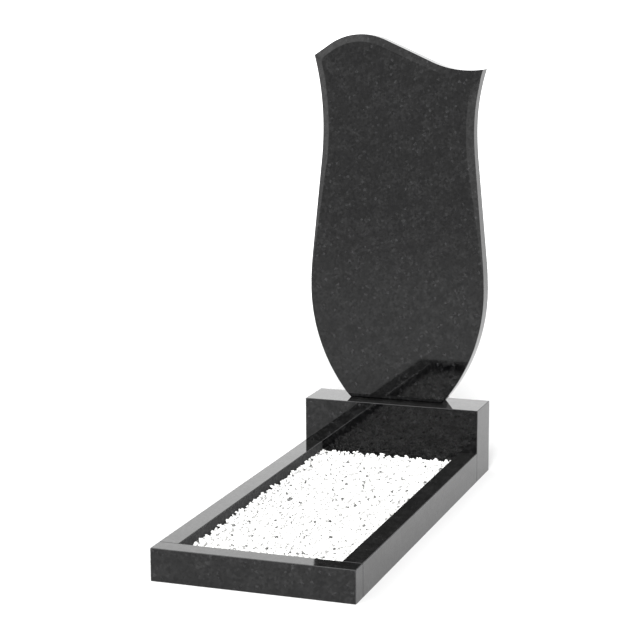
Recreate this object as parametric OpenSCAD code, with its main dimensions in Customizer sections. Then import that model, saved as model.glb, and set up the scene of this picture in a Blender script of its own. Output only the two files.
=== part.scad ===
// Grave memorial set: an upright stele with a wavy top on a low plinth, and in
// front of the plinth a kerbed bed filled with loose marble chips.
// The width runs along X, the inscribed side faces -Y and the set stands on Z = 0.

/* [Stele] */
// Width of the stele across its belly
belly_w = 500; // [440:10:500]
// Width of the stele where it stands on the plinth
foot_w = 266; // [220:2:320]
// Width at the neck, the narrow stretch below the top
neck_w = 431; // [390:1:436]
// Distance between the two pointed tips
tip_w = 480; // [450:2:500]
// Thickness of the slab
stele_t = 50; // [40:5:80]
// Height of the belly above the foot
belly_h = 315; // [280:5:340]
// Height of the neck above the foot
neck_h = 762; // [720:2:790]
// Height of the trough of the wave above the foot
trough_h = 920; // [880:5:930]
// Height of the crest of the wave above the foot
crest_h = 1014; // [1000:2:1040]

/* [Wave] */
// Distance of the crest from the middle, towards the left
crest_x = 104; // [90:2:120]
// Distance of the trough from the middle, towards the right
trough_x = 201; // [190:1:205]
// Radius of the crest
crest_r = 165; // [130:5:180]
// Radius of the trough
trough_r = 265; // [200:5:300]
// Slope of the shoulder that falls from the crest to the left tip
shoulder_deg = 34; // [28:1:36]

/* [Bevel] */
// Width of the bevel along the top and the neck, seen from the front
bevel_w = 20; // [8:1:24]
// Depth that the bevel cuts into the slab
bevel_d = 11; // [4:1:16]
// Height above the foot from which the side bevels have their full width
bevel_full_h = 680; // [600:10:720]
// How far the bevel draws in the face's corners at the tips, where 1 is a plain mitre
tip_draw = 1.3; // [1:0.05:1.5]

/* [Plinth] */
// Width of the plinth and of the whole set
plinth_w = 500; // [500:10:600]
// Depth of the plinth
plinth_d = 130; // [130:5:200]
// Height of the plinth
plinth_h = 200; // [150:10:250]
// Ledge of plinth in front of the stele
ledge_d = 50; // [25:1:50]

/* [Kerbs] */
// Thickness of the kerbs
kerb_t = 50; // [40:5:80]
// Height of the kerbs
kerb_h = 80; // [60:5:120]
// Length of the two side kerbs
side_kerb_l = 1000; // [800:10:1200]
// Width of the small flat that breaks each sharp edge of the granite
arris = 2; // [1:0.5:4]

/* [Marble chips] */
// Height of the chip bed above the ground
chips_h = 50; // [40:5:55]
// Height between the lowest and the highest chips at the surface
chips_relief = 7; // [2:1:8]
// Spacing of the humps in the surface of the bed
chips_pitch = 25; // [25:5:50]

/* [Hidden] */

granite_colour = [0.17, 0.17, 0.18];
marble_colour = [0.93, 0.93, 0.91];

// Whole set, which is centred on the origin in plan
set_l = kerb_t + side_kerb_l + plinth_d;
plinth_front_y = set_l / 2 - plinth_d;
front_kerb_back_y = kerb_t - set_l / 2;
stele_front_y = plinth_front_y + ledge_d;
bed_w = plinth_w - 2 * kerb_t;
side_kerb_x = (plinth_w - kerb_t) / 2;
side_kerb_y = front_kerb_back_y + side_kerb_l / 2;

// Slope of the straight flank that touches both the crest arc and the trough arc
centre_dx = trough_x + crest_x;
centre_dz = trough_h + trough_r - crest_h + crest_r;
centre_gap = norm([centre_dx, centre_dz]);
flank_deg = asin((crest_r + trough_r) / centre_gap) - atan2(centre_dz, centre_dx);

// Heights of the two tips, where the wave meets the sides
shoulder_x = crest_x + crest_r * sin(shoulder_deg);
shoulder_h = crest_h - crest_r * (1 - cos(shoulder_deg));
left_tip_h = shoulder_h - (tip_w / 2 - shoulder_x) * tan(shoulder_deg);
right_tip_h = trough_h + sag(trough_r, tip_w / 2 - trough_x);

// The flanks between belly and neck are straight but for this part at each end
flank_blend = 0.2;

// Straight end of an edge beside a tip, which leaves room for the bevel's mitre
mitre_l = 38;
side_steps = 36;
arc_steps = 9;
chips_seed = 7;

// Height of an arc of radius r over half a chord
function sag(r, half_chord) = r - sqrt(r * r - half_chord * half_chord);

// Radius of the arc that leaves a vertical tangent and moves d sideways over a height h
function side_radius(h, d) = (h * h + d * d) / (2 * d);

// Share of the way from belly to neck, with a straight middle and curved ends
function eased(t) =
    let (b = flank_blend, k = 2 * b * (1 - b))
    t < b ? t * t / k : t > 1 - b ? 1 - (1 - t) * (1 - t) / k : (t - b / 2) / (1 - b);

// Half width of the stele at a height z, on a side whose tip is at tip_h
function half_width(z, tip_h) =
    z < belly_h ? belly_w / 2 - sag(side_radius(belly_h, (belly_w - foot_w) / 2), belly_h - z)
    : z < neck_h ? belly_w / 2 - (belly_w - neck_w) / 2 * eased((z - belly_h) / (neck_h - belly_h))
    : neck_w / 2 + sag(side_radius(tip_h - neck_h, (tip_w - neck_w) / 2), z - neck_h);

// One side of the stele from the foot up to its tip, as [half width, height]
function side_points(tip_h) = concat(
    [for (i = [0 : side_steps])
        let (z = i / side_steps * (tip_h - mitre_l)) [half_width(z, tip_h), z]],
    [[tip_w / 2, tip_h]]);

// The crest arc from the shoulder to the flank, and the trough arc up to the mitre
crest_points = [for (i = [0 : arc_steps])
    let (a = -shoulder_deg + i / arc_steps * (shoulder_deg + flank_deg))
    [-crest_x + crest_r * sin(a), crest_h - crest_r * (1 - cos(a))]];
trough_end_deg = asin((tip_w / 2 - mitre_l - trough_x) / trough_r);
trough_points = [for (i = [0 : arc_steps])
    let (a = -flank_deg + i / arc_steps * (flank_deg + trough_end_deg))
    [trough_x + trough_r * sin(a), trough_h + trough_r * (1 - cos(a))]];

// The whole outline, clockwise as seen from the front
left_side = [for (p = side_points(left_tip_h)) [-p.x, p.y]];
right_side = side_points(right_tip_h);
outline = concat(
    left_side,
    crest_points,
    trough_points,
    [for (i = [len(right_side) - 1 : -1 : 0]) right_side[i]]);

// Share of the full bevel at a height: none at the belly, all of it at the neck and the top
function bevel_share(z) = min(1, max(0, (z - belly_h) / (bevel_full_h - belly_h)));
function bevel_across(z) = max(arris / 2, bevel_w * bevel_share(z));
function bevel_deep(z) = max(arris / 2, bevel_d * bevel_share(z));

// Places of the two tips in the outline
left_tip_i = len(left_side) - 1;
right_tip_i = len(left_side) + len(crest_points) + len(trough_points);
function draw_at(i) = i == left_tip_i || i == right_tip_i ? tip_draw : 1;

function unit(v) = v / norm(v);
function inward(v) = [v.y, -v.x];

// Point i of the outline moved inwards by the bevel, square to both edges that meet there
function inset_point(i) =
    let (n = len(outline),
         here = outline[i],
         before = inward(unit(here - outline[(i + n - 1) % n])),
         after = inward(unit(outline[(i + 1) % n] - here)),
         middle = unit(before + after))
    here + middle * bevel_across(here.y) * draw_at(i) / (middle * after);

// A rectangle from y = 0 up whose two upper corners are cut off
module topped_rectangle(w, h) {
    polygon([[-w / 2, 0], [w / 2, 0], [w / 2, h - arris], [w / 2 - arris, h],
             [arris - w / 2, h], [-w / 2, h - arris]]);
}

// A rectangle about the origin with its four corners cut off by the arris
module plan_outline(w, d) {
    polygon([[arris - w / 2, -d / 2], [w / 2 - arris, -d / 2], [w / 2, arris - d / 2],
             [w / 2, d / 2 - arris], [w / 2 - arris, d / 2], [arris - w / 2, d / 2],
             [-w / 2, d / 2 - arris], [-w / 2, arris - d / 2]]);
}

// A sawn and polished block that stands on z = 0, with its upper and upright edges broken
module block(size) {
    intersection() {
        linear_extrude(size.z) plan_outline(size.x, size.y);
        rotate([90, 0, 0]) linear_extrude(size.y, center = true) topped_rectangle(size.x, size.z);
        rotate([90, 0, 90]) linear_extrude(size.x, center = true) topped_rectangle(size.y, size.z);
    }
}

module headstone() {
    n = len(outline);
    face_ring = [for (i = [0 : n - 1]) [inset_point(i).x, 0, inset_point(i).y]];
    edge_ring = [for (p = outline) [p.x, bevel_deep(p.y), p.y]];
    back_ring = [for (p = outline) [p.x, stele_t, p.y]];
    bands = [for (ring = [0, 1], i = [0 : n - 1])
        let (inner = ring * n, outer = inner + n, j = (i + 1) % n)
        each [[outer + i, outer + j, inner + j], [outer + i, inner + j, inner + i]]];
    color(granite_colour)
    translate([0, stele_front_y, plinth_h])
        polyhedron(
            points = concat(face_ring, edge_ring, back_ring),
            faces = concat([[for (i = [0 : n - 1]) i]], bands, [[for (i = [n - 1 : -1 : 0]) 2 * n + i]]),
            convexity = 6);
}

module plinth() {
    color(granite_colour)
    translate([0, plinth_front_y + plinth_d / 2, 0]) block([plinth_w, plinth_d, plinth_h]);
}

module front_kerb() {
    color(granite_colour)
    translate([0, front_kerb_back_y - kerb_t / 2, 0]) block([plinth_w, kerb_t, kerb_h]);
}

module side_kerb(side) {
    color(granite_colour)
    translate([side * side_kerb_x, side_kerb_y, 0]) block([kerb_t, side_kerb_l, kerb_h]);
}

module left_kerb() {
    side_kerb(-1);
}

module right_kerb() {
    side_kerb(1);
}

// The bed of chips: flat below, with a surface of small humps
module marble_chips() {
    nx = round(bed_w / chips_pitch);
    ny = round(side_kerb_l / chips_pitch);
    lift = rands(-chips_relief / 2, chips_relief / 2, (nx + 1) * (ny + 1), chips_seed);
    surface_points = [for (j = [0 : ny], i = [0 : nx])
        [(i / nx - 0.5) * bed_w, (j / ny - 0.5) * side_kerb_l, chips_h + lift[j * (nx + 1) + i]]];
    surface_faces = [for (j = [0 : ny - 1], i = [0 : nx - 1])
        let (a = j * (nx + 1) + i, b = a + 1, c = a + nx + 1, d = c + 1)
        each [[a, c, b], [b, c, d]]];
    sides = [
        [for (i = [0 : nx]) i],
        [for (j = [0 : ny]) j * (nx + 1) + nx],
        [for (i = [nx : -1 : 0]) ny * (nx + 1) + i],
        [for (j = [ny : -1 : 0]) j * (nx + 1)]];
    first = len(surface_points);
    foot_points = [for (side = sides) [surface_points[side[0]].x, surface_points[side[0]].y, 0]];
    wall_faces = [for (k = [0 : 3]) concat(sides[k], [first + (k + 1) % 4, first + k])];
    color(marble_colour)
    translate([0, side_kerb_y, 0])
        polyhedron(
            points = concat(surface_points, foot_points),
            faces = concat(surface_faces, wall_faces, [[for (k = [0 : 3]) first + k]]),
            convexity = 4);
}

headstone();
plinth();
front_kerb();
left_kerb();
right_kerb();
marble_chips();
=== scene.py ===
"""A kerbed grave set of polished black granite with a bed of white marble chips, in a plain studio."""
import math

import bmesh
import bpy
import numpy as np
from bpy.props import FloatProperty, FloatVectorProperty, IntProperty, PointerProperty
from mathutils import Matrix, Vector


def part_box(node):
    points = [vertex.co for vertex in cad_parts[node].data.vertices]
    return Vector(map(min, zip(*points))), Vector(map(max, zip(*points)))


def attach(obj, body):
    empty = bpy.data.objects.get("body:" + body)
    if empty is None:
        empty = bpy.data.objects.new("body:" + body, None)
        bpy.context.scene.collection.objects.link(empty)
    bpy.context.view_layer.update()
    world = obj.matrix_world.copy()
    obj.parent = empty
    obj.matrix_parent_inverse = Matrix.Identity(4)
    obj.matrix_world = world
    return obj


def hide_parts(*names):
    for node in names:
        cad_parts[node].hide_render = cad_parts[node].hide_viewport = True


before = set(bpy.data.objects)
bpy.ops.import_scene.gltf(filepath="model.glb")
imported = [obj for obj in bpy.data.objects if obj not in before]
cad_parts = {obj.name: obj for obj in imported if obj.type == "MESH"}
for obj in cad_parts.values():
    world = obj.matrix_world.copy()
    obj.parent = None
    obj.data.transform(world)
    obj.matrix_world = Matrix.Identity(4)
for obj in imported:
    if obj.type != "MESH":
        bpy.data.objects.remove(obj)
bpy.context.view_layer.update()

bl_info = {
    "name": "Kerbed Grave Set",
    "version": (1, 0, 0),
    "blender": (4, 5, 0),
    "location": "View3D > Sidebar > Memorial",
    "description": "Builds a wave-topped granite stele, its plinth, kerbs and chip bed, and a studio",
    "category": "Add Mesh",
}

MM = 0.001
BODY = "root"
GRANITE_SLOT = "black_granite"
MARBLE_SLOT = "white_marble"

DOWN = (0, 0, -1)
# Cosine above which a face counts as looking along a side of a block.
SAME_SIDE = 0.99
# Points closer than this are one point, and edges lower than this stand on the ground.
MERGE_DISTANCE = 0.001 * MM
ON_CAP = 0.0001 * MM
GROUNDED = 0.01 * MM
# Places of the rubbed and the sawn finish among a block's materials; the polished one comes first.
RUBBED, SAWN = 1, 2
# Each kerb and the side of it that faces the bed.
KERBS = {"front_kerb": (0, 1, 0), "left_kerb": (1, 0, 0), "right_kerb": (-1, 0, 0)}

STELE_LOW, STELE_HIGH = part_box("headstone")
BED_LOW, BED_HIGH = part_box("marble_chips")

# A chip's tone runs from 0 to 1; the few dark ones carry this value instead.
STRAY_TONE = 2.0
# Stands in for zero where a division follows.
TINY = 1e-12


# --------------------------------------------------------------------------------------------
# Settings
# --------------------------------------------------------------------------------------------

def length(name, description, default, low=0.0):
    """A length in metres that the sidebar shows in the scene's own units."""
    return FloatProperty(name=name, description=description, default=default, min=low,
                         subtype="DISTANCE", unit="LENGTH", precision=4)


def angle(name, description, degrees):
    """An angle, given in degrees and kept in radians."""
    return FloatProperty(name=name, description=description, default=math.radians(degrees),
                         subtype="ANGLE", unit="ROTATION")


def colour(name, description, rgb):
    """A linear colour without alpha."""
    return FloatVectorProperty(name=name, description=description, default=rgb, size=3,
                               subtype="COLOR", min=0.0, max=1.0)


def number(name, description, default, low=0.0, high=1000.0):
    """A plain number between two limits."""
    return FloatProperty(name=name, description=description, default=default, min=low, max=high)


class SteleSettings(bpy.types.PropertyGroup):
    foot_width: length("Foot Width", "Width where the stele stands on the plinth", 266 * MM)
    neck_width: length("Neck Width", "Width at the narrow stretch below the top", 431 * MM)
    tip_width: length("Tip Width", "Distance between the two pointed tips", 480 * MM)
    belly_height: length("Belly Height", "Height of the widest place above the foot", 315 * MM)
    neck_height: length("Neck Height", "Height of the neck above the foot", 762 * MM)
    crest_offset: length("Crest Offset", "Distance of the crest from the middle, to the left", 104 * MM)
    crest_radius: length("Crest Radius", "Radius of the crest of the wave", 165 * MM)
    trough_offset: length("Trough Offset", "Distance of the trough from the middle", 201 * MM)
    trough_drop: length("Trough Drop", "Depth of the trough below the crest", 94 * MM)
    trough_radius: length("Trough Radius", "Radius of the trough of the wave", 265 * MM)
    shoulder_slope: angle("Shoulder Slope", "Slope from the crest down to the left tip", 34)
    flank_blend: number("Flank Blend", "Share of the flank that is curved at each end", 0.2, 0.05, 0.5)
    bevel_width: length("Bevel Width", "Width of the bevel, seen from the front", 20 * MM)
    bevel_depth: length("Bevel Depth", "Depth that the bevel cuts into the slab", 11 * MM)
    bevel_full_height: length("Full Bevel From", "Height where the bevel has its full width", 680 * MM)
    tip_bevel: number("Right Tip Bevel", "Share of the bevel's depth left at the right tip", 0.4, 0.05, 1)
    corner_cut: length("Corner Cut", "Length of face edge taken by the round inside each tip", 15 * MM)


class StoneSettings(bpy.types.PropertyGroup):
    arris: length("Arris", "Width of the small flat along every edge of the blocks", 2 * MM)
    slab_arris: length("Slab Arris", "Width of the small flat along the edges of the stele", 1.5 * MM)
    foot_arris: length("Foot Arris", "Width of the flat along the foot of the stele", 4 * MM)
    ground: colour("Ground Colour", "Colour of the dark minerals", (0.0012, 0.0012, 0.0013))
    grey: colour("Grain Colour", "Colour of the grey grains", (0.0086, 0.0086, 0.0088))
    fleck: colour("Fleck Colour", "Colour of the brightest flecks", (0.022, 0.022, 0.023))
    # Painted sheen: a pale colour laid over the upward faces stands partly for dust and partly for a
    # painted reflection on the tops.
    dust_and_sheen: number("Dust", "Share of the stone hidden by dust where it faces upwards", 0.025, 0.0, 1.0)
    dust_and_sheen_colour: colour("Dust Colour", "Colour of the dust", (0.3, 0.3, 0.29))
    unpolished: colour("Unpolished Colour", "Colour of the unpolished stone", (0.042, 0.042, 0.043))
    grain_size: length("Grain Size", "Size of the mineral grains", 6 * MM)
    polish: number("Polish Roughness", "Roughness of the polished faces", 0.04, 0.0, 1.0)
    arris_polish: number("Arris Roughness", "Roughness of the hand-rubbed edges", 0.2, 0.0, 1.0)
    sawn_roughness: number("Sawn Roughness", "Roughness of the sawn faces", 0.75, 0.0, 1.0)
    low_index: number("Low Refraction", "Index of the weakest mirroring grains", 1.37, 1.3, 2.0)
    high_index: number("High Refraction", "Index of the strongest mirroring grains", 1.47, 1.3, 2.0)


class MarbleSettings(bpy.types.PropertyGroup):
    chips: IntProperty(name="Chips", description="Number of loose chips", default=5200, min=100)
    filler_chips: IntProperty(name="Filler Chips", description="Most chips used to fill the last hollows",
                              default=3600, min=0)
    fill_depth: length("Fill Depth", "Depth below the bed's surface at which a hollow is filled up", 6 * MM)
    peak: length("Peak", "Height above the bed's surface that no chip passes", 7 * MM)
    smallest: length("Smallest Chip", "Length of the smallest chips", 8 * MM)
    largest: length("Largest Chip", "Length of the largest chips", 21 * MM)
    floor_depth: length("Underlay Depth", "Depth of the underlay below the bed's surface", 14 * MM)
    seed: IntProperty(name="Seed", description="Seed of the scatter", default=11, min=0)
    white: colour("White", "Colour of the whitest chips", (0.84, 0.84, 0.83))
    grey: colour("Grey", "Colour of the greyest chips", (0.76, 0.76, 0.755))
    stray: colour("Stray", "Colour of the few dark chips", (0.07, 0.07, 0.068))
    stray_size: length("Stray Size", "Length of the largest dark chips", 10 * MM)
    stray_share: number("Stray Share", "Share of the chips up to that size that are dark", 0.05, 0.0, 1.0)


class StageSettings(bpy.types.PropertyGroup):
    floor_radius: length("Floor Radius", "Radius of the even part of the floor", 1.2)
    floor_fade: length("Floor Fade", "Width of the floor's soft rim", 4.0)
    floor_colour: colour("Floor Colour", "Colour of the pale floor", (0.87, 0.87, 0.87))
    sun_power: number("Key Power", "Power of the soft key light", 4.7)
    sun_height: angle("Key Height", "Height of the key light above the floor", 30)
    sun_turn: angle("Key Turn", "Turn of the key light from the front towards the left", -16)
    sun_width: angle("Key Softness", "Apparent width of the key light", 28)
    bright: number("Studio Walls", "Brightness of the studio's walls", 1.85)
    dim: number("Studio Front", "Brightness of the studio behind the viewer", 1.03)
    far_right: number("Far Right Wall", "Brightness of the wall at the far right", 1.2)
    ceiling: number("Studio Ceiling", "Brightness of the ceiling", 0.18)
    front_box: number("Front Softbox", "Brightness of the broad lamp above the viewer", 1.5)
    left_box: number("Left Softbox", "Brightness of the broad lamp at the viewer's upper left", 2.3)


# --------------------------------------------------------------------------------------------
# Curves
# --------------------------------------------------------------------------------------------

def sag(radius, half_chord):
    """Height of an arc over half a chord."""
    return radius - math.sqrt(radius * radius - half_chord * half_chord)


def side_radius(height, sideways):
    """Radius of the arc that leaves a vertical tangent and moves sideways over a height."""
    return (height * height + sideways * sideways) / (2 * sideways)


def eased(t, blend):
    """Share of the way from belly to neck: a straight middle with a curve at each end."""
    scale = 2 * blend * (1 - blend)
    if t < blend:
        return t * t / scale
    if t > 1 - blend:
        return 1 - (1 - t) * (1 - t) / scale
    return (t - blend / 2) / (1 - blend)


def arc(centre, radius, start, end, count, up):
    """Points of a crest (up = 1) or a trough (up = -1), by their angle from the vertical."""
    turns = np.linspace(start, end, count)
    return np.column_stack([centre[0] + radius * np.sin(turns), centre[1] + up * radius * np.cos(turns)])


def resampled(points, count):
    """The same polyline with its points at equal distances."""
    steps = np.linalg.norm(np.diff(points, axis=0), axis=1)
    along = np.concatenate([[0], np.cumsum(steps)])
    wanted = np.linspace(0, along[-1], count)
    return np.column_stack([np.interp(wanted, along, points[:, k]) for k in (0, 1)])


def inward_normals(points):
    """Unit normals to the right of the path, which is inside a clockwise outline."""
    slope = np.gradient(points, axis=0)
    slope /= np.linalg.norm(slope, axis=1)[:, None]
    return np.column_stack([slope[:, 1], -slope[:, 0]])


def crossing(before, after):
    """Where the end of one polyline meets the start of the next: both places and the point."""
    for i in range(len(before) - 2, -1, -1):
        run = before[i + 1] - before[i]
        base = after[:-1] - before[i]
        rise = after[1:] - after[:-1]
        area = run[0] * rise[:, 1] - run[1] * rise[:, 0]
        area[area == 0] = TINY
        t = (base[:, 0] * rise[:, 1] - base[:, 1] * rise[:, 0]) / area
        u = (base[:, 0] * run[1] - base[:, 1] * run[0]) / area
        hits = np.nonzero((t >= 0) & (t <= 1) & (u >= 0) & (u <= 1))[0]
        if len(hits):
            j = hits[0]
            return i, j, before[i] + run * t[j]
    raise RuntimeError("two inset edges of the stele don't meet at their corner")


def clipped(points, distance):
    """A polyline without the given length at its end."""
    steps = np.linalg.norm(np.diff(points, axis=0), axis=1)
    along = np.concatenate([[0], np.cumsum(steps)])
    stop = along[-1] - distance
    kept = points[along < stop]
    last = np.array([np.interp(stop, along, points[:, k]) for k in (0, 1)])
    return np.vstack([kept, last])


class SteleShape:
    """The outline of the stele as four edges, and rings that lie inside it."""

    SIDE_POINTS = 150
    TOP_POINTS = 150
    FOOT_POINTS = 8
    CORNER_POINTS = 9
    # Points on each arc of the wave, and on a side before it is resampled.
    ARC_POINTS = 90
    DRAWN_POINTS = 6 * SIDE_POINTS
    # Height, in foot arrises, over which the arris narrows to the slab's.
    FOOT_REACH = 3
    # Stretches of the top and of the right side over which the bevel flattens towards the right tip.
    TOP_FLATTENS = (0, 0.55, 0.85, 1)
    SIDE_RECOVERS = (0, 0.02, 0.05, 1)

    def __init__(self, s, slab_arris, foot_arris):
        self.s = s
        self.slab_arris = slab_arris
        self.foot_arris = foot_arris
        self.half_belly = (STELE_HIGH.x - STELE_LOW.x) / 2
        self.crest_height = STELE_HIGH.z - STELE_LOW.z
        self.thickness = STELE_HIGH.y - STELE_LOW.y
        self.trough_height = self.crest_height - s.trough_drop
        top = self.wave()
        left = self.side(top[0][1])
        right = self.side(top[-1][1])[::-1]
        left[:, 0] *= -1
        foot = np.array([right[-1], left[0]])
        self.edges = [resampled(left, self.SIDE_POINTS), resampled(top, self.TOP_POINTS),
                      resampled(right, self.SIDE_POINTS), resampled(foot, self.FOOT_POINTS)]
        # Only the corners at the two tips are drawn in with a round.
        self.rounded = [True, True, False, False]

    def half_width(self, z, tip_height):
        """Half the stele's width at a height: arc to the belly, flank to the neck, arc to the tip."""
        s = self.s
        if z < s.belly_height:
            radius = side_radius(s.belly_height, self.half_belly - s.foot_width / 2)
            return self.half_belly - sag(radius, s.belly_height - z)
        if z < s.neck_height:
            t = (z - s.belly_height) / (s.neck_height - s.belly_height)
            return self.half_belly - (self.half_belly - s.neck_width / 2) * eased(t, s.flank_blend)
        radius = side_radius(tip_height - s.neck_height, (s.tip_width - s.neck_width) / 2)
        return s.neck_width / 2 + sag(radius, z - s.neck_height)

    def side(self, tip_height):
        """The right-hand side from the foot up to its tip."""
        heights = np.linspace(0, tip_height, self.DRAWN_POINTS)
        return np.array([[self.half_width(z, tip_height), z] for z in heights])

    def wave(self):
        """The top edge: shoulder, crest arc, straight flank and trough arc, from left to right."""
        s = self.s
        crest = (-s.crest_offset, self.crest_height - s.crest_radius)
        trough = (s.trough_offset, self.trough_height + s.trough_radius)
        gap = math.hypot(trough[0] - crest[0], trough[1] - crest[1])
        flank = (math.asin((s.crest_radius + s.trough_radius) / gap)
                 - math.atan2(trough[1] - crest[1], trough[0] - crest[0]))
        hump = arc(crest, s.crest_radius, -s.shoulder_slope, flank, self.ARC_POINTS, 1)
        end = math.asin((s.tip_width / 2 - s.trough_offset) / s.trough_radius)
        dip = arc(trough, s.trough_radius, -flank, end, self.ARC_POINTS, -1)
        tip_x = -s.tip_width / 2
        tip = [tip_x, hump[0][1] - (hump[0][0] - tip_x) * math.tan(s.shoulder_slope)]
        return np.vstack([[tip], hump, dip])

    def share(self, z):
        """Share of the full bevel at a height: none at the belly, all of it from the neck up."""
        s = self.s
        return np.clip((z - s.belly_height) / (s.bevel_full_height - s.belly_height), 0, 1)

    def least(self, z):
        """The small flat where the bevel has run out: wider right at the foot."""
        near_foot = np.clip(1 - z / (self.FOOT_REACH * self.foot_arris), 0, 1)
        return self.slab_arris + (self.foot_arris - self.slab_arris) * near_foot

    def bevel_width(self, z):
        return np.maximum(self.least(z), self.s.bevel_width * self.share(z))

    def bevel_depth(self, z):
        return np.maximum(self.least(z), self.s.bevel_depth * self.share(z))

    def depth_share(self):
        """Share of the bevel's depth at each point of a ring: it flattens towards the right tip."""
        least = self.s.tip_bevel
        left = np.ones(self.SIDE_POINTS + self.CORNER_POINTS)
        top = np.interp(np.linspace(0, 1, self.TOP_POINTS), self.TOP_FLATTENS, [1, 1, least, least])
        corner = np.full(self.CORNER_POINTS, least)
        right = np.interp(np.linspace(0, 1, self.SIDE_POINTS), self.SIDE_RECOVERS, [least, least, 1, 1])
        rest = np.ones(self.FOOT_POINTS + 2 * self.CORNER_POINTS)
        return np.concatenate([left, top, corner, right, rest])

    def ring(self, inset, round_tips=False):
        """The outline moved inwards by inset(z), with the same number of points every time."""
        moved = [e + inward_normals(e) * inset(e[:, 1])[:, None] for e in self.edges]
        corners = []
        for k in range(4):
            i, j, point = crossing(moved[k], moved[(k + 1) % 4])
            moved[k] = np.vstack([moved[k][:i + 1], point])
            moved[(k + 1) % 4] = np.vstack([point, moved[(k + 1) % 4][j + 1:]])
            corners.append(point)
        out = []
        for k in range(4):
            edge = moved[k]
            cut_end = round_tips and self.rounded[k]
            cut_start = round_tips and self.rounded[k - 1]
            if cut_end:
                edge = clipped(edge, self.s.corner_cut)
            if cut_start:
                edge = clipped(edge[::-1], self.s.corner_cut)[::-1]
            out.append(resampled(edge, len(self.edges[k])))
        ring = []
        for k in range(4):
            ring.append(out[k])
            here, there = out[k][-1], out[(k + 1) % 4][0]
            t = np.linspace(0, 1, self.CORNER_POINTS)[:, None]
            ring.append((1 - t) ** 2 * here + 2 * t * (1 - t) * corners[k] + t * t * there)
        return np.vstack(ring)


# --------------------------------------------------------------------------------------------
# Mesh helpers
# --------------------------------------------------------------------------------------------

def new_object(name, mesh, *materials):
    """An object for a mesh, in the scene and with its materials."""
    piece = bpy.data.objects.new(name, mesh)
    bpy.context.scene.collection.objects.link(piece)
    for material in materials:
        mesh.materials.append(material)
    return piece


def bmesh_object(name, bm, *materials):
    """An object made from a bmesh, which is freed."""
    mesh = bpy.data.meshes.new(name)
    bm.to_mesh(mesh)
    bm.free()
    return new_object(name, mesh, *materials)


def smooth_between(piece, sharpest):
    """Smooth shading, kept sharp wherever two faces meet at more than the given angle."""
    mesh = piece.data
    mesh.shade_smooth()
    mesh.set_sharp_from_angle(angle=math.radians(sharpest))


def finish_piece(piece, slot, *nodes):
    """Let a piece ride on the body and stand for its CAD nodes."""
    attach(piece, BODY)
    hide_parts(*nodes)


def lofted(rings):
    """A closed bmesh through rings of equal length, with a flat cap on the first and the last."""
    bm = bmesh.new()
    rows = [[bm.verts.new(p) for p in ring] for ring in rings]
    n = len(rows[0])
    for near, far in zip(rows, rows[1:]):
        for i in range(n):
            j = (i + 1) % n
            bm.faces.new((near[i], far[i], far[j], near[j]))
    bmesh.ops.remove_doubles(bm, verts=bm.verts, dist=MERGE_DISTANCE)
    for ring in (rings[0], rings[-1]):
        depth = ring[0][1]
        rim = [e for e in bm.edges if e.is_boundary and abs(e.verts[0].co.y - depth) < ON_CAP]
        bmesh.ops.triangle_fill(bm, edges=rim, use_beauty=True)
    bmesh.ops.recalc_face_normals(bm, faces=bm.faces)
    return bm


def stone_block(low, high, arris, sawn=()):
    """A block with a rubbed arris on every edge off the ground, left sawn on some of its sides."""
    bm = bmesh.new()
    bmesh.ops.create_cube(bm, size=1.0)
    centre = (low + high) / 2
    size = high - low
    placing = Matrix.Translation(centre) @ Matrix.Diagonal((*size, 1.0))
    bmesh.ops.transform(bm, matrix=placing, verts=bm.verts)
    edges = [e for e in bm.edges if max(v.co.z for v in e.verts) > low.z + GROUNDED]
    made = bmesh.ops.bevel(bm, geom=edges, offset=arris, offset_type="WIDTH", segments=1, profile=0.5,
                           affect="EDGES", clamp_overlap=True)
    for face in made["faces"]:
        face.material_index = RUBBED
    bmesh.ops.recalc_face_normals(bm, faces=bm.faces)
    for face in bm.faces:
        if any(face.normal.dot(Vector(side)) > SAME_SIDE for side in (DOWN, *sawn)):
            face.material_index = SAWN
    return bm


# --------------------------------------------------------------------------------------------
# Materials
# --------------------------------------------------------------------------------------------

# Noise, in waves for each metre.
BORDER_WAVES = 420.0
CLOUD_WAVES = 26.0
VEIN_WAVES = 150.0
SUGAR_WAVES = 900.0
FLOOR_WAVES = 3.0
# Small grains for each large one, and how far borders waver as a share of a grain.
FINE_GRAINS = 2.6
WAVER = 0.9

# Spans of a random value over which a look comes in, and then the shares that it runs between.
GREY_GRAINS = (0.4, 1.0)
GREY_CLOUDS = (0.35, 0.68, 0.35, 1.0)
FLECKED_GRAINS = (0.95, 1.0)
FLECK_PARTS = (0.3, 0.9, 0.25, 1.0)
SPARKS = (0.98, 1.0, 0.0, 0.3)
FACING_UP = (0.3, 0.95)
# Patches of the pale colour on upward faces: partly dust, partly painted reflection.
DUST_AND_SHEEN_PATCHES = (0.3, 0.7, 0.7, 1.3)
DULL_MINERALS = (0.2, 0.9)
DULLNESS = (0.75, 1.5)
MIRROR_CLOUDS = (0.3, 0.7, 0.5, 1.0)
MIRROR_GRAINS = (0.0, 0.9)
GREY_CHIPS = (0.7, 1.0)
VEINS = (0.0, 0.03, 0.35, 0.0)
CHIP_ROUGHNESS = (0.3, 0.7, 0.5, 0.8)
FLOOR_ROUGHNESS = (0.3, 0.7, 0.8, 0.95)

# Saw marks: waves for each metre across and along, and their depth.
SAW_WAVES = (6.0, 6.0, 260.0)
SAW_DEPTH = 0.5 * MM
GRAIN_STEP = 0.04 * MM
SUGAR_DEPTH = 0.6 * MM
MARBLE_INDEX = 1.49
FLOOR_SHEEN = 0.15


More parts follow.
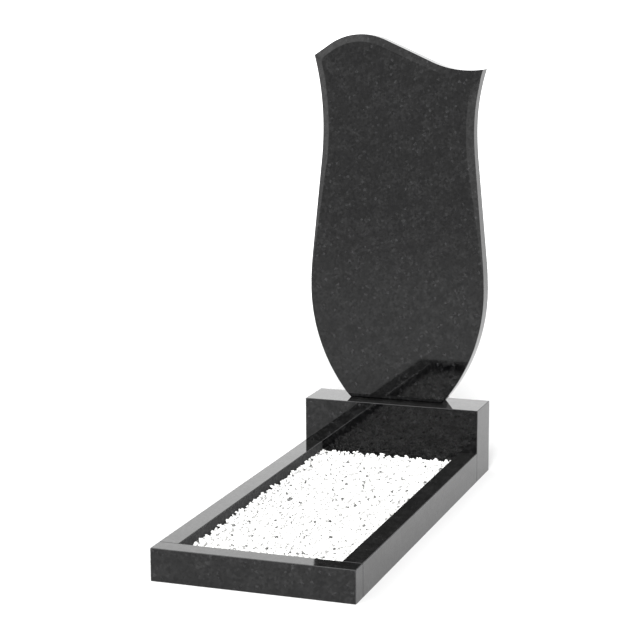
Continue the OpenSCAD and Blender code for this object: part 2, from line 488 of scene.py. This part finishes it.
class NodeTree:
    """Short words for building a node tree."""

    def __init__(self, tree):
        self.tree = tree
        tree.nodes.clear()

    def add(self, kind, inputs=None, **settings):
        """A node with its inputs fed from sockets or set to values."""
        node = self.tree.nodes.new(kind)
        for key, value in settings.items():
            setattr(node, key, value)
        for key, value in (inputs or {}).items():
            self.feed(node.inputs[key], value)
        return node

    def feed(self, socket, value):
        if isinstance(value, bpy.types.NodeSocket):
            self.tree.links.new(value, socket)
        else:
            socket.default_value = value

    def noise(self, place, scale, detail=3.0, roughness=0.55):
        inputs = {"Vector": place, "Scale": scale, "Detail": detail, "Roughness": roughness}
        return self.add("ShaderNodeTexNoise", inputs).outputs["Fac"]

    def grains(self, place, scale):
        """Three random values of the mineral grain that a place lies in: Red, Green and Blue."""
        cells = self.add("ShaderNodeTexVoronoi", {"Vector": place, "Scale": scale})
        return self.add("ShaderNodeSeparateColor", {"Color": cells.outputs["Color"]}).outputs

    def between(self, value, low, high, to_low=0.0, to_high=1.0, smooth=True):
        """A value that runs from one share to the other while it passes a span."""
        inputs = {"Value": value, "From Min": low, "From Max": high, "To Min": to_low, "To Max": to_high}
        kind = "SMOOTHSTEP" if smooth else "LINEAR"
        return self.add("ShaderNodeMapRange", inputs, interpolation_type=kind).outputs["Result"]

    def math(self, operation, a, b):
        return self.add("ShaderNodeMath", {0: a, 1: b}, operation=operation).outputs[0]

    def vector(self, operation, a, b):
        return self.add("ShaderNodeVectorMath", {0: a, 1: b}, operation=operation).outputs[0]

    def mix(self, factor, a, b):
        """One colour turning into another."""
        node = self.add("ShaderNodeMix", data_type="RGBA")
        for socket, value in zip((node.inputs[0], node.inputs[6], node.inputs[7]), (factor, a, b)):
            self.feed(socket, value)
        return node.outputs[2]


def rgba(values):
    """A colour with full alpha."""
    return (*values, 1.0)


def granite_material(name, s, roughness, bare=0.0, shine=0.5):
    """Dark granite: black ground, grey grains, a few bright flecks; bare is the share left unpolished."""
    material = bpy.data.materials.new(name)
    material.use_nodes = True
    t = NodeTree(material.node_tree)
    coordinates = t.add("ShaderNodeTexCoord")
    place = coordinates.outputs["Object"]

    # Grains with wavering borders: each Voronoi cell is one mineral grain of its own brightness.
    waver = t.add("ShaderNodeTexNoise", {"Vector": place, "Scale": BORDER_WAVES, "Detail": 2.0})
    shift = t.vector("SUBTRACT", waver.outputs["Color"], (0.5, 0.5, 0.5))
    shift = t.add("ShaderNodeVectorMath", {0: shift, "Scale": s.grain_size * WAVER}, operation="SCALE")
    bent = t.vector("ADD", place, shift.outputs[0])
    grain = t.grains(bent, 1.0 / s.grain_size)
    fine = t.grains(bent, FINE_GRAINS / s.grain_size)
    cloud = t.noise(place, CLOUD_WAVES, 4.0)

    greyness = t.math("MULTIPLY", t.between(grain["Red"], *GREY_GRAINS), t.between(cloud, *GREY_CLOUDS))
    colour_here = t.mix(greyness, rgba(s.ground), rgba(s.grey))
    fleck = t.between(grain["Green"], *FLECKED_GRAINS)
    fleck = t.math("MULTIPLY", fleck, t.between(fine["Red"], *FLECK_PARTS))
    colour_here = t.mix(fleck, colour_here, rgba(s.fleck))
    colour_here = t.mix(t.between(fine["Green"], *SPARKS), colour_here, rgba(s.fleck))
    colour_here = t.mix(bare, colour_here, rgba(s.unpolished))
    # Faces that look upwards are lightened towards a pale colour in cloudy patches: partly dust, partly a
    # painted reflection that lifts the tone of the tops.
    upward = t.add("ShaderNodeSeparateXYZ", {0: coordinates.outputs["Normal"]}).outputs["Z"]
    dust_and_sheen = t.between(upward, *FACING_UP, 0.0, s.dust_and_sheen)
    dust_and_sheen = t.math("MULTIPLY", dust_and_sheen, t.between(cloud, *DUST_AND_SHEEN_PATCHES))
    colour_here = t.mix(dust_and_sheen, colour_here, rgba(s.dust_and_sheen_colour))

    # Softer minerals take a slightly duller polish, and their borders stand a hair lower.
    dull = t.math("ADD", t.math("MULTIPLY", grain["Blue"], 0.35), t.math("MULTIPLY", cloud, 0.65))
    rough = t.between(dull, *DULL_MINERALS, *(roughness * share for share in DULLNESS))
    bump = t.add("ShaderNodeBump", {"Strength": 0.05, "Distance": GRAIN_STEP, "Height": grain["Blue"]})
    marks = t.noise(t.vector("MULTIPLY", place, SAW_WAVES), 1.0)
    marks = t.add("ShaderNodeBump", {"Strength": 0.5 * bare, "Distance": SAW_DEPTH, "Height": marks,
                                     "Normal": bump.outputs["Normal"]})

    # Every mineral mirrors a little differently.
    index = t.math("MULTIPLY", grain["Blue"], t.between(cloud, *MIRROR_CLOUDS))
    index = t.between(index, *MIRROR_GRAINS, s.low_index, s.high_index, smooth=False)

    shader = t.add("ShaderNodeBsdfPrincipled", {"Base Color": colour_here, "Roughness": rough,
                                                "Normal": marks.outputs["Normal"], "IOR": index,
                                                "Specular IOR Level": shine})
    t.add("ShaderNodeOutputMaterial", {"Surface": shader.outputs["BSDF"]})
    return material


def granite(s):
    """The stone polished, rubbed (its arrises) and sawn (out of sight), made once and shared."""
    names = ("Black Granite Polished", "Black Granite Rubbed", "Black Granite Sawn")
    found = [bpy.data.materials.get(n) for n in names]
    if all(found):
        return found
    return [granite_material(names[0], s, s.polish),
            granite_material(names[1], s, s.arris_polish, bare=0.6),
            granite_material(names[2], s, s.sawn_roughness, bare=0.8, shine=0.25)]


def marble_material(s):
    """Broken white marble: each chip has its own tone, faint grey veins and a sugary grain."""
    material = bpy.data.materials.new("White Marble Chips")
    material.use_nodes = True
    t = NodeTree(material.node_tree)
    place = t.add("ShaderNodeTexCoord").outputs["Object"]
    tone = t.add("ShaderNodeAttribute", attribute_name="tone").outputs["Fac"]
    base = t.mix(t.between(tone, *GREY_CHIPS), rgba(s.white), rgba(s.grey))
    base = t.mix(t.between(tone, 1.0, STRAY_TONE), base, rgba(s.stray))
    swirl = t.math("SUBTRACT", t.noise(place, VEIN_WAVES, 5.0, 0.7), 0.5)
    vein = t.between(t.math("ABSOLUTE", swirl, 0.0), *VEINS)
    base = t.mix(vein, base, rgba(s.grey))
    grain = t.noise(place, SUGAR_WAVES, 4.0, 0.7)
    rough = t.between(grain, *CHIP_ROUGHNESS)
    bump = t.add("ShaderNodeBump", {"Strength": 0.35, "Distance": SUGAR_DEPTH, "Height": grain})
    shader = t.add("ShaderNodeBsdfPrincipled", {"Base Color": base, "Roughness": rough,
                                                "Normal": bump.outputs["Normal"], "IOR": MARBLE_INDEX})
    t.add("ShaderNodeOutputMaterial", {"Surface": shader.outputs["BSDF"]})
    return material


def floor_material(s):
    """A pale matt floor whose rim fades out softly."""
    material = bpy.data.materials.new("Pale Floor")
    material.use_nodes = True
    t = NodeTree(material.node_tree)
    place = t.add("ShaderNodeTexCoord").outputs["Object"]
    far = t.add("ShaderNodeVectorMath", {0: place}, operation="LENGTH").outputs["Value"]
    gone = t.between(far, s.floor_radius, s.floor_radius + s.floor_fade)
    rough = t.between(t.noise(place, FLOOR_WAVES), *FLOOR_ROUGHNESS)
    shader = t.add("ShaderNodeBsdfPrincipled", {"Base Color": rgba(s.floor_colour), "Roughness": rough,
                                                "Specular IOR Level": FLOOR_SHEEN})
    clear = t.add("ShaderNodeBsdfTransparent")
    both = t.add("ShaderNodeMixShader", {0: gone, 1: shader.outputs["BSDF"], 2: clear.outputs["BSDF"]})
    t.add("ShaderNodeOutputMaterial", {"Surface": both.outputs["Shader"]})
    return material


# --------------------------------------------------------------------------------------------
# Marble chips
# --------------------------------------------------------------------------------------------

class ChipBed:
    """Drops chips one by one on a height field, each resting on what lies below it."""

    CELL = 2 * MM
    KINDS = 48
    CORNERS = 11
    TRIES = 3
    # How far a stone's corners lie out from its middle, and how far each is knocked aside.
    REACH = (0.8, 1.05)
    KNOCK = 0.16
    # The spread of lengths leans to the small stones; width and height are shares of the length.
    LENGTH_SPREAD = (1.6, 2.4)
    WIDTHS = (0.62, 0.92)
    HEIGHTS = (0.42, 0.72)
    TILT = 0.45
    # The largest filler chip, as a share of the largest chip.
    LARGEST_FILLER = 0.6
    UNDERLAY_CELLS = (40, 100)
    UNDERLAY_HUMP = 4 * MM

    def __init__(self, s):
        self.s = s
        self.random = np.random.default_rng(s.seed)
        self.low = np.array(BED_LOW)
        self.high = np.array(BED_HIGH)
        self.base = self.high[2] - s.floor_depth
        self.shape = [int(round((self.high[k] - self.low[k]) / self.CELL)) for k in (0, 1)]
        self.height = np.full(self.shape, self.base)
        self.kinds = [self.broken_stone() for _ in range(self.KINDS)]

    def broken_stone(self):
        """Corners and triangles of an angular stone about one unit across."""
        r = self.random
        turn = math.pi * (3 - math.sqrt(5))
        bm = bmesh.new()
        for k in range(self.CORNERS):
            z = 1 - 2 * (k + 0.5) / self.CORNERS
            flat = math.sqrt(1 - z * z)
            spot = np.array([flat * math.cos(turn * k), flat * math.sin(turn * k), z])
            spot = spot * r.uniform(*self.REACH) + r.normal(0, self.KNOCK, 3)
            bm.verts.new(0.5 * spot)
        bmesh.ops.convex_hull(bm, input=bm.verts)
        loose = [v for v in bm.verts if not v.link_faces]
        bmesh.ops.delete(bm, geom=loose, context="VERTS")
        bmesh.ops.triangulate(bm, faces=bm.faces)
        bmesh.ops.recalc_face_normals(bm, faces=bm.faces)
        bm.verts.index_update()
        corners = np.array([v.co for v in bm.verts])
        faces = np.array([[v.index for v in f.verts] for f in bm.faces])
        bm.free()
        return corners, faces

    def next_stone(self, largest):
        """A turned and sized copy of one of the kinds, about its own middle."""
        r = self.random
        corners, faces = self.kinds[r.integers(self.KINDS)]
        long = self.s.smallest + (largest - self.s.smallest) * r.beta(*self.LENGTH_SPREAD)
        size = np.array([long, long * r.uniform(*self.WIDTHS), long * r.uniform(*self.HEIGHTS)])
        spin = Matrix.Rotation(r.uniform(0, 2 * math.pi), 3, "Z")
        tilt = Matrix.Rotation(r.normal(0, self.TILT), 3, "X")
        tilt = tilt @ Matrix.Rotation(r.normal(0, self.TILT), 3, "Y")
        return (corners * size) @ np.array(spin @ tilt).T, faces

    def hull_heights(self, corners, faces, x, y):
        """Lowest and highest surface of a stone above each place, and where it is there at all."""
        a, b, c = (corners[faces[:, k]] for k in range(3))
        normal = np.cross(b - a, c - a)
        reach = np.einsum("ij,ij->i", normal, a)
        steep = np.abs(normal[:, 2]) < TINY
        normal[steep, 2] = TINY
        gx, gy = np.meshgrid(x, y, indexing="ij")
        level = (reach[:, None, None] - normal[:, 0, None, None] * gx - normal[:, 1, None, None] * gy)
        level = level / normal[:, 2, None, None]
        up = normal[:, 2] > 0
        top = level[up].min(axis=0)
        bottom = level[~up].max(axis=0)
        return bottom, top, top > bottom

    def rest(self, corners, faces, spot):
        """Where a stone comes to lie over a spot: its lift, place, cells and their new height."""
        back, ahead = corners[:, :2].min(axis=0), corners[:, :2].max(axis=0)
        spot = np.clip(spot, self.low[:2] - back, self.high[:2] - ahead)
        first = np.floor((spot + back - self.low[:2]) / self.CELL).astype(int)
        last = np.ceil((spot + ahead - self.low[:2]) / self.CELL).astype(int)
        first = np.maximum(first, 0)
        last = np.minimum(last, self.shape)
        x = self.low[0] + (np.arange(first[0], last[0]) + 0.5) * self.CELL - spot[0]
        y = self.low[1] + (np.arange(first[1], last[1]) + 0.5) * self.CELL - spot[1]
        bottom, top, inside = self.hull_heights(corners, faces, x, y)
        cells = (slice(first[0], last[0]), slice(first[1], last[1]))
        lift = np.where(inside, self.height[cells] - bottom, -1.0).max()
        return lift, spot, cells, np.where(inside, top + lift, 0.0)

    def lay(self, corners, faces, resting):
        """Keep a stone where it rests, unless it would stick out of the bed."""
        lift, spot, cells, top = resting
        if top.max() > self.high[2] + self.s.peak:
            return
        self.height[cells] = np.maximum(self.height[cells], top)
        self.corners.append(corners + [spot[0], spot[1], lift])
        self.faces.append(faces + self.count)
        self.tones.append(np.full(len(corners), self.tone(corners)))
        self.count += len(corners)

    def tone(self, corners):
        """A chip's place between white and grey, or the dark tone for a few of the small ones."""
        tone = self.random.uniform()
        small = np.ptp(corners, axis=0).max() < self.s.stray_size
        return STRAY_TONE if small and tone > 1 - self.s.stray_share else tone

    def scatter(self):
        """All chips as one set of corners, triangles and tones."""
        s, r = self.s, self.random
        self.corners, self.faces, self.tones, self.count = [], [], [], 0
        for _ in range(s.chips):
            # Spots past a kerb are pulled back, so that stones also lie right against it.
            corners, faces = self.next_stone(s.largest)
            spots = r.uniform(self.low[:2] - s.smallest, self.high[:2] + s.smallest, (self.TRIES, 2))
            resting = min((self.rest(corners, faces, p) for p in spots), key=lambda place: place[0])
            self.lay(corners, faces, resting)
        full = self.high[2] - s.fill_depth
        for _ in range(s.filler_chips):
            hollows = np.argwhere(self.height < full)
            if not len(hollows):
                break
            corners, faces = self.next_stone(self.LARGEST_FILLER * s.largest)
            spot = self.low[:2] + (hollows[r.integers(len(hollows))] + 0.5) * self.CELL
            self.lay(corners, faces, self.rest(corners, faces, spot))
        return np.vstack(self.corners), np.vstack(self.faces), np.concatenate(self.tones)

    def underlay(self):
        """The closed block of chips below the loose ones, with a surface of low humps."""
        nx, ny = self.UNDERLAY_CELLS
        r = self.random
        bm = bmesh.new()
        bottom = self.low[2]
        xs = np.linspace(self.low[0], self.high[0], nx + 1)
        ys = np.linspace(self.low[1], self.high[1], ny + 1)
        hump = self.UNDERLAY_HUMP
        upper = [[bm.verts.new((x, y, self.base + r.uniform(0, hump))) for y in ys] for x in xs]
        lower = [[bm.verts.new((x, y, bottom)) for y in ys] for x in xs]
        for i in range(nx):
            for j in range(ny):
                bm.faces.new((upper[i][j], upper[i + 1][j], upper[i + 1][j + 1], upper[i][j + 1]))
                bm.faces.new((lower[i][j], lower[i][j + 1], lower[i + 1][j + 1], lower[i + 1][j]))
        for j in range(ny):
            bm.faces.new((upper[0][j], upper[0][j + 1], lower[0][j + 1], lower[0][j]))
            bm.faces.new((upper[nx][j], lower[nx][j], lower[nx][j + 1], upper[nx][j + 1]))
        for i in range(nx):
            bm.faces.new((upper[i][0], lower[i][0], lower[i + 1][0], upper[i + 1][0]))
            bm.faces.new((upper[i][ny], upper[i + 1][ny], lower[i + 1][ny], lower[i][ny]))
        bmesh.ops.recalc_face_normals(bm, faces=bm.faces)
        return bm


# --------------------------------------------------------------------------------------------
# Operators
# --------------------------------------------------------------------------------------------

class MEMORIAL_OT_add_stele(bpy.types.Operator):
    """Build the upright stele with its wavy top, curved sides and bevelled edge"""
    bl_idname = "memorial.add_stele"
    bl_label = "Add Stele"

    # Width of the rubbed edge beside the bevel, and the most of the bevel that it may take.
    RUB = 0.8 * MM
    MOST_RUB = 0.3
    # Degrees between two faces above which their edge stays sharp.
    CREASE = 8

    def execute(self, context):
        stone = context.scene.memorial_stone
        arris = stone.slab_arris
        shape = SteleShape(context.scene.memorial_stele, arris, stone.foot_arris)
        depth = shape.thickness
        width_at, depth_at = shape.bevel_width, shape.bevel_depth
        flatter = shape.depth_share()

        def rub(z):
            return np.minimum(self.RUB, self.MOST_RUB * width_at(z))

        def depth_of(ring):
            return depth_at(np.clip(ring[:, 1], 0, None)) * flatter

        def placed(ring, y):
            """A ring of (x, z) points set at a depth behind the face, in the object's frame."""
            y = np.broadcast_to(y, len(ring))
            return np.column_stack([ring[:, 0], STELE_LOW.y + y, STELE_LOW.z + ring[:, 1]])

        def on_bevel(inset, round_tips):
            ring = shape.ring(inset, round_tips)
            height = np.clip(ring[:, 1], 0, None)
            return placed(ring, depth_of(ring) * (1 - inset(height) / width_at(height)))

        outer = shape.ring(lambda z: 0 * z)
        rings = [
            placed(shape.ring(lambda z: width_at(z) + rub(z), round_tips=True), 0.0),
            on_bevel(lambda z: width_at(z) - rub(z), True),
            on_bevel(rub, False),
            placed(outer, depth_of(outer) + rub(outer[:, 1])),
            placed(outer, depth - arris),
            placed(shape.ring(lambda z: arris + 0 * z), depth),
        ]
        piece = bmesh_object("headstone_stele", lofted(rings), *granite(stone))
        smooth_between(piece, self.CREASE)
        finish_piece(piece, GRANITE_SLOT, "headstone")
        return {"FINISHED"}


class MEMORIAL_OT_add_plinth(bpy.types.Operator):
    """Build the plinth that carries the stele"""
    bl_idname = "memorial.add_plinth"
    bl_label = "Add Plinth"

    def execute(self, context):
        stone = context.scene.memorial_stone
        block = stone_block(*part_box("plinth"), stone.arris)
        piece = bmesh_object("plinth_block", block, *granite(stone))
        finish_piece(piece, GRANITE_SLOT, "plinth")
        return {"FINISHED"}


class MEMORIAL_OT_add_kerbs(bpy.types.Operator):
    """Build the front kerb and the two side kerbs"""
    bl_idname = "memorial.add_kerbs"
    bl_label = "Add Kerbs"

    def execute(self, context):
        stone = context.scene.memorial_stone
        for node, inner_side in KERBS.items():
            block = stone_block(*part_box(node), stone.arris, sawn=[inner_side])
            piece = bmesh_object(node + "_stone", block, *granite(stone))
            finish_piece(piece, GRANITE_SLOT, node)
        return {"FINISHED"}


class MEMORIAL_OT_add_marble_chips(bpy.types.Operator):
    """Fill the bed between the kerbs with an underlay and loose marble chips"""
    bl_idname = "memorial.add_marble_chips"
    bl_label = "Add Marble Chips"

    def execute(self, context):
        settings = context.scene.memorial_marble
        material = marble_material(settings)
        bed = ChipBed(settings)
        underlay = bmesh_object("marble_underlay", bed.underlay(), material)
        finish_piece(underlay, MARBLE_SLOT, "marble_chips")
        corners, faces, tones = bed.scatter()
        mesh = bpy.data.meshes.new("marble_loose_chips")
        mesh.from_pydata(corners, [], faces)
        mesh.attributes.new("tone", "FLOAT", "POINT").data.foreach_set("value", tones)
        chips = new_object("marble_loose_chips", mesh, material)
        finish_piece(chips, MARBLE_SLOT, "marble_chips")
        return {"FINISHED"}


class MEMORIAL_OT_set_stage(bpy.types.Operator):
    """Lay the pale floor, light the studio and set up the camera"""
    bl_idname = "memorial.set_stage"
    bl_label = "Set Stage"

    FLOOR_SIDES = 96
    # Aim of each wall or lamp of the studio, and the cosines off it of its soft rim and its core.
    FRONT_WALL = ((-0.2, -0.98, 0.0), 0.72, 0.93)
    FAR_RIGHT_WALL = ((0.5, 0.866, 0.0), 0.75, 0.93)
    FRONT_BOX = ((-0.2, -0.62, 0.76), 0.87, 0.95)
    LEFT_BOX = ((-0.66, -0.42, 0.62), 0.8, 0.97)
    # Heights, as sines, between which the walls turn into the ceiling.
    CEILING_STARTS = (0.34, 0.5)
    # The camera's place in metres, its turn, dip and roll in degrees, and its lens and sensor.
    EYE = (1.4709, -4.2438, 1.3767)
    TURN, DIP, ROLL = 19.619, 10.776, -0.277
    LENS, SENSOR = 102.43, 36.0

    def execute(self, context):
        s = context.scene.memorial_stage
        self.add_floor(s)
        self.add_key_light(s)
        self.light_studio(context.scene, s)
        self.add_camera(context.scene)
        context.scene.view_settings.view_transform = "Standard"
        return {"FINISHED"}

    def add_floor(self, s):
        """A round floor, wide enough that its rim fades out of sight."""
        bm = bmesh.new()
        radius = s.floor_radius + s.floor_fade
        bmesh.ops.create_circle(bm, cap_ends=True, segments=self.FLOOR_SIDES, radius=radius)
        bmesh_object("studio_floor", bm, floor_material(s))

    def add_key_light(self, s):
        """One broad, soft light from beside the viewer."""
        light = bpy.data.lights.new("key_light", "SUN")
        light.energy = s.sun_power
        light.angle = s.sun_width
        key = bpy.data.objects.new("key_light", light)
        key.rotation_euler = (math.pi / 2 - s.sun_height, 0, -s.sun_turn)
        bpy.context.scene.collection.objects.link(key)

    def light_studio(self, scene, s):
        """Bright walls near the horizon, dimmer at the front, and a dimmer ceiling."""
        world = bpy.data.worlds.new("Studio")
        world.use_nodes = True
        scene.world = world
        t = NodeTree(world.node_tree)
        ray = t.add("ShaderNodeTexCoord").outputs["Generated"]

        def grey(brightness):
            return rgba([brightness] * 3)

        def patch(under, place, brightness):
            """A soft round patch of another brightness."""
            aim, rim, core = place
            near = t.add("ShaderNodeVectorMath", {0: ray, 1: aim}, operation="DOT_PRODUCT")
            return t.mix(t.between(near.outputs["Value"], rim, core), under, grey(brightness))

        room = patch(grey(s.bright), self.FRONT_WALL, s.dim)
        room = patch(room, self.FAR_RIGHT_WALL, s.far_right)
        height = t.add("ShaderNodeSeparateXYZ", {0: ray}).outputs["Z"]
        room = t.mix(t.between(height, *self.CEILING_STARTS), room, grey(s.ceiling))
        room = patch(room, self.FRONT_BOX, s.front_box)
        room = patch(room, self.LEFT_BOX, s.left_box)
        glow = t.add("ShaderNodeBackground", {"Color": room})
        t.add("ShaderNodeOutputWorld", {"Surface": glow.outputs["Background"]})

    def add_camera(self, scene):
        """A long lens a little to the right of the grave's foot, looking slightly down."""
        turn, dip, roll = (math.radians(degrees) for degrees in (self.TURN, self.DIP, self.ROLL))
        data = bpy.data.cameras.new("camera")
        data.sensor_width = self.SENSOR
        data.lens = self.LENS
        camera = bpy.data.objects.new("camera", data)
        rotation = (Matrix.Rotation(turn, 3, "Z") @ Matrix.Rotation(math.pi / 2 - dip, 3, "X")
                    @ Matrix.Rotation(roll, 3, "Z"))
        camera.matrix_world = Matrix.Translation(self.EYE) @ rotation.to_4x4()
        scene.collection.objects.link(camera)
        scene.camera = camera


class MEMORIAL_PT_sidebar(bpy.types.Panel):
    bl_label = "Kerbed Grave Set"
    bl_idname = "MEMORIAL_PT_sidebar"
    bl_space_type = "VIEW_3D"
    bl_region_type = "UI"
    bl_category = "Memorial"

    def draw(self, context):
        for group, operators in PANEL_ROWS:
            box = self.layout.box()
            settings = getattr(context.scene, group)
            for name in settings.__annotations__:
                box.prop(settings, name)
            for operator in operators:
                box.operator(operator.bl_idname)


SETTINGS = {
    "memorial_stele": SteleSettings,
    "memorial_stone": StoneSettings,
    "memorial_marble": MarbleSettings,
    "memorial_stage": StageSettings,
}

PANEL_ROWS = (
    ("memorial_stele", (MEMORIAL_OT_add_stele,)),
    ("memorial_stone", (MEMORIAL_OT_add_plinth, MEMORIAL_OT_add_kerbs)),
    ("memorial_marble", (MEMORIAL_OT_add_marble_chips,)),
    ("memorial_stage", (MEMORIAL_OT_set_stage,)),
)

OPERATORS = [operator for _, operators in PANEL_ROWS for operator in operators]
CLASSES = (*SETTINGS.values(), *OPERATORS, MEMORIAL_PT_sidebar)


def register():
    """Make the settings, operators and panel known to Blender."""
    for cls in CLASSES:
        bpy.utils.register_class(cls)
    for name, group in SETTINGS.items():
        setattr(bpy.types.Scene, name, PointerProperty(type=group))


def unregister():
    """Take them away again."""
    for name in SETTINGS:
        delattr(bpy.types.Scene, name)
    for cls in reversed(CLASSES):
        bpy.utils.unregister_class(cls)


def main():
    """Build everything in order."""
    register()
    bpy.ops.memorial.add_stele()
    bpy.ops.memorial.add_plinth()
    bpy.ops.memorial.add_kerbs()
    bpy.ops.memorial.add_marble_chips()
    bpy.ops.memorial.set_stage()


if __name__ == "__main__":
    main()
